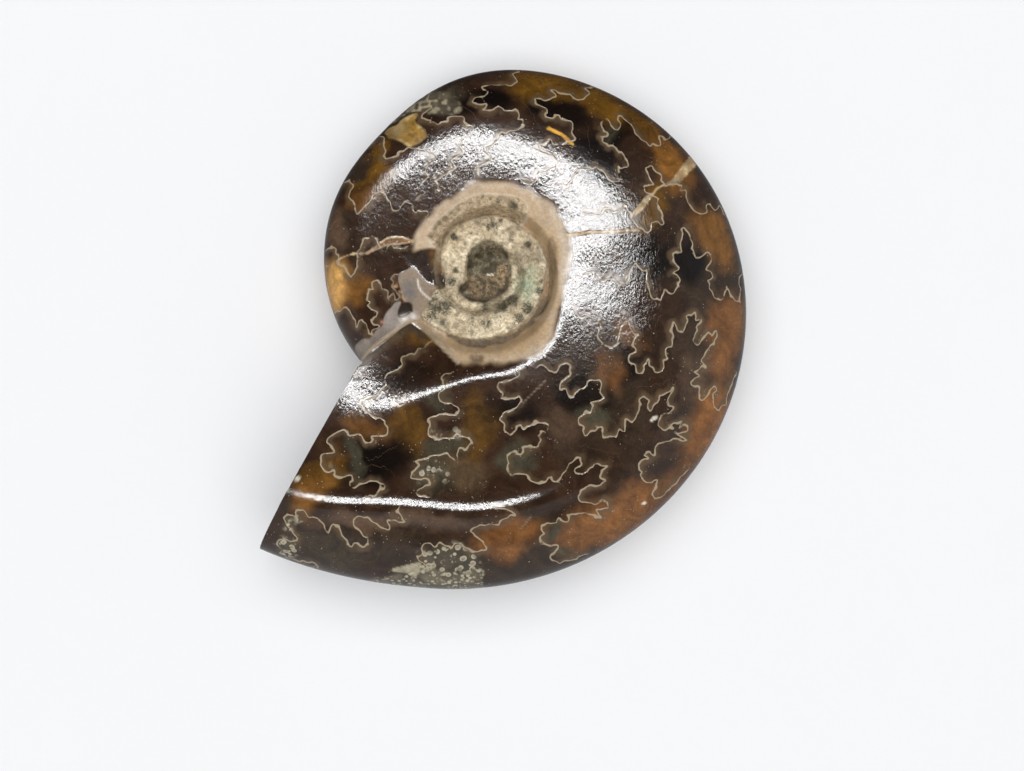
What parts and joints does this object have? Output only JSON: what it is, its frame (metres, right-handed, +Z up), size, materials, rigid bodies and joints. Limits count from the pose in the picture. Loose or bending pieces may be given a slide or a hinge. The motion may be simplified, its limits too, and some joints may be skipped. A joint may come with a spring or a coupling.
{
  "type": "polished ammonite fossil",
  "caption": "Polished ammonite: a coiled fossil shell, open at the umbilicus and ending in a sawn aperture face, that lies on its flank as a keepsake.",
  "frame": {"origin": "below the middle of the shell's bounding box, on the surface that it rests on", "axes": "+Z up out of the flank that faces up, close to the coiling axis; +Y along the longer side of its box, away from the cut aperture's tip"},
  "size_m": [0.0384, 0.0414, 0.0113],
  "materials": {
    "polished_calcite": "hand polished, dark amber with fine pale suture lines"
  },
  "bodies": {
    "root": {"ammonite": "polished_calcite"}
  },
  "joints": []
}
